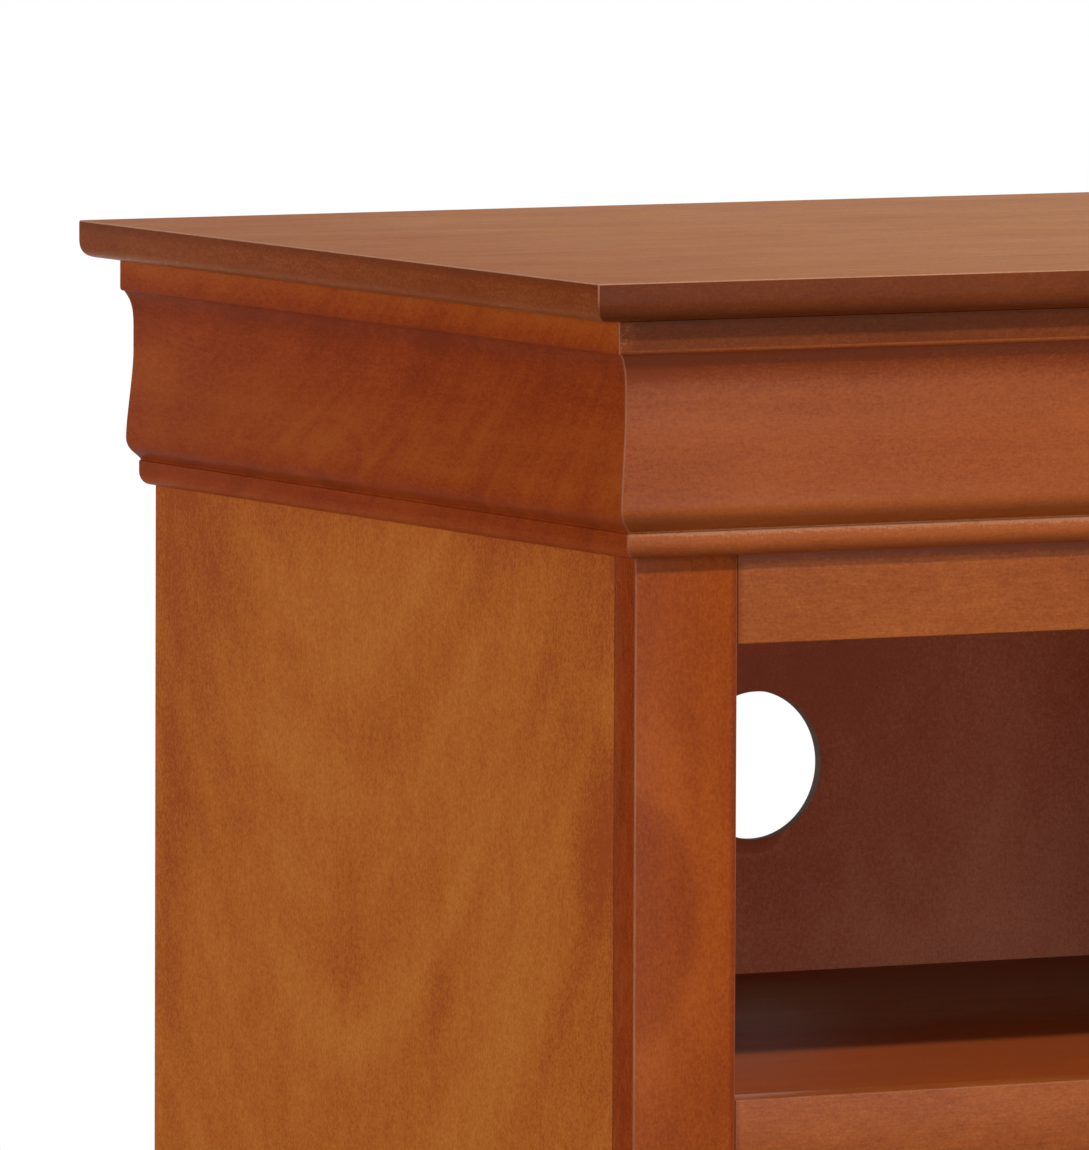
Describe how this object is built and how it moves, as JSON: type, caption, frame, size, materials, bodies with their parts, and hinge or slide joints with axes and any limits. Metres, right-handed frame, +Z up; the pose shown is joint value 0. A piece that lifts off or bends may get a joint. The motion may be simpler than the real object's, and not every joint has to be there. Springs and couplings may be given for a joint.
{
  "type": "media chest",
  "caption": "Traditional wooden media chest with an open divided bay, cable holes, full-width drawers with bail pulls and an ogee frieze.",
  "frame": {"origin": "on the floor under the middle of the top's outline", "axes": "+X along the front to the right as seen from the front, +Y from the front to the back, +Z up"},
  "size_m": [1.092, 0.432, 0.965],
  "materials": {
    "solid_wood": "satin lacquer over cherry stain on solid wood",
    "veneer": "satin lacquer over cherry stain on veneered board",
    "inside_panel": "matt dark cherry stain on panel",
    "secondary_wood": "clear sealed plain wood",
    "brass": "aged and rubbed"
  },
  "bodies": {
    "case": {"top_slab": "veneer", "frieze_front": "solid_wood", "frieze_left": "solid_wood", "frieze_right": "solid_wood", "left_side_panel": "veneer", "right_side_panel": "veneer", "left_stile": "solid_wood", "right_stile": "solid_wood", "bay_top_rail": "solid_wood", "bay_floor_rail": "solid_wood", "upper_drawer_rail": "solid_wood", "lower_drawer_rail": "solid_wood", "bottom_rail": "solid_wood", "bay_divider_stile": "solid_wood", "bay_divider": "inside_panel", "bay_floor": "inside_panel", "bottom_panel": "secondary_wood", "rear_top_rail": "secondary_wood", "back_panel": "inside_panel", "base_cap_front": "solid_wood", "base_cap_left": "solid_wood", "base_cap_right": "solid_wood", "plinth_front": "solid_wood", "plinth_left": "solid_wood", "plinth_right": "solid_wood", "plinth_back": "secondary_wood", "drawer_1_runner_left": "secondary_wood", "drawer_1_runner_right": "secondary_wood", "drawer_2_runner_left": "secondary_wood", "drawer_2_runner_right": "secondary_wood", "drawer_3_runner_left": "secondary_wood", "drawer_3_runner_right": "secondary_wood"},
    "drawer_1": {"drawer_1_front": "solid_wood", "drawer_1_side_left": "secondary_wood", "drawer_1_side_right": "secondary_wood", "drawer_1_back": "secondary_wood", "drawer_1_bottom": "secondary_wood", "drawer_1_pull_left_plate": "brass", "drawer_1_pull_right_plate": "brass"},
    "drawer_1_pull_left_bail": {"drawer_1_pull_left_bail": "brass"},
    "drawer_1_pull_right_bail": {"drawer_1_pull_right_bail": "brass"},
    "drawer_2": {"drawer_2_front": "solid_wood", "drawer_2_side_left": "secondary_wood", "drawer_2_side_right": "secondary_wood", "drawer_2_back": "secondary_wood", "drawer_2_bottom": "secondary_wood", "drawer_2_pull_left_plate": "brass", "drawer_2_pull_right_plate": "brass"},
    "drawer_2_pull_left_bail": {"drawer_2_pull_left_bail": "brass"},
    "drawer_2_pull_right_bail": {"drawer_2_pull_right_bail": "brass"},
    "drawer_3": {"drawer_3_front": "solid_wood", "drawer_3_side_left": "secondary_wood", "drawer_3_side_right": "secondary_wood", "drawer_3_back": "secondary_wood", "drawer_3_bottom": "secondary_wood", "drawer_3_pull_left_plate": "brass", "drawer_3_pull_right_plate": "brass"},
    "drawer_3_pull_left_bail": {"drawer_3_pull_left_bail": "brass"},
    "drawer_3_pull_right_bail": {"drawer_3_pull_right_bail": "brass"}
  },
  "joints": [
    {"name": "drawer_1_slide", "type": "slide", "parent": "case", "child": "drawer_1", "axis": [0, -1, 0], "range_m": [0, 0.25]},
    {"name": "drawer_1_pull_left_swing", "type": "hinge", "parent": "drawer_1", "child": "drawer_1_pull_left_bail", "pos_m": [-0.24, -0.2061, 0.56533], "axis": [-1, 0, 0], "range_deg": [-20, 95]},
    {"name": "drawer_1_pull_right_swing", "type": "hinge", "parent": "drawer_1", "child": "drawer_1_pull_right_bail", "pos_m": [0.24, -0.2061, 0.56533], "axis": [-1, 0, 0], "range_deg": [-20, 95]},
    {"name": "drawer_2_slide", "type": "slide", "parent": "case", "child": "drawer_2", "axis": [0, -1, 0], "range_m": [0, 0.25]},
    {"name": "drawer_2_pull_left_swing", "type": "hinge", "parent": "drawer_2", "child": "drawer_2_pull_left_bail", "pos_m": [-0.24, -0.2061, 0.398], "axis": [-1, 0, 0], "range_deg": [-20, 95]},
    {"name": "drawer_2_pull_right_swing", "type": "hinge", "parent": "drawer_2", "child": "drawer_2_pull_right_bail", "pos_m": [0.24, -0.2061, 0.398], "axis": [-1, 0, 0], "range_deg": [-20, 95]},
    {"name": "drawer_3_slide", "type": "slide", "parent": "case", "child": "drawer_3", "axis": [0, -1, 0], "range_m": [0, 0.25]},
    {"name": "drawer_3_pull_left_swing", "type": "hinge", "parent": "drawer_3", "child": "drawer_3_pull_left_bail", "pos_m": [-0.24, -0.2061, 0.23067], "axis": [-1, 0, 0], "range_deg": [-20, 95]},
    {"name": "drawer_3_pull_right_swing", "type": "hinge", "parent": "drawer_3", "child": "drawer_3_pull_right_bail", "pos_m": [0.24, -0.2061, 0.23067], "axis": [-1, 0, 0], "range_deg": [-20, 95]}
  ]
}
